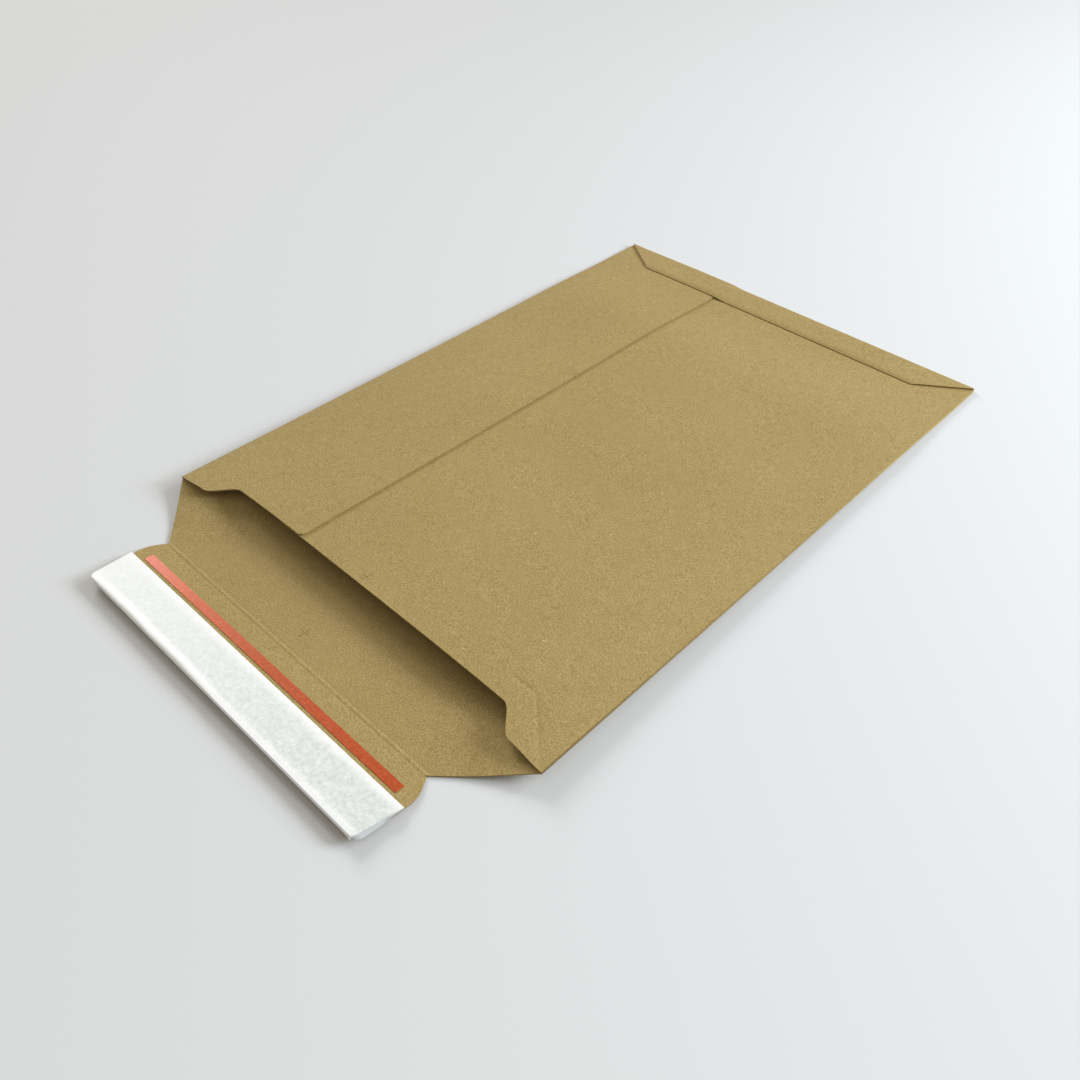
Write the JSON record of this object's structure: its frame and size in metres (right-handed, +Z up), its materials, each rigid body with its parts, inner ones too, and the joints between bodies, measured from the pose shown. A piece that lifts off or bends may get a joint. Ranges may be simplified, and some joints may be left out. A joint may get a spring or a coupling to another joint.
{
  "type": "cardboard mailer envelope",
  "caption": "Flat kraft board mailer with an open pocket, a seam along its upper side, a glued end flap and an open closing flap with a glue strip under a white liner and an orange tear strip.",
  "frame": {"origin": "on the surface it lies on, under the middle of its outline with the closing flap laid open", "axes": "+Y from the mouth towards the closed end, +X to the right seen from the mouth side with the seam up, +Z up through the board"},
  "size_m": [0.25, 0.4194, 0.0102],
  "materials": {
    "kraft_board": "matte brown kraft solid board with fine fibres and specks",
    "glue": "pale pressure-sensitive glue, slightly glossy",
    "liner_paper": "white silicone release paper, lightly mottled",
    "tear_tape": "orange-red film tape"
  },
  "bodies": {
    "root": {"mailer_board": "kraft_board", "adhesive_band": "glue", "release_liner": "liner_paper", "tear_strip": "tear_tape"}
  },
  "joints": []
}
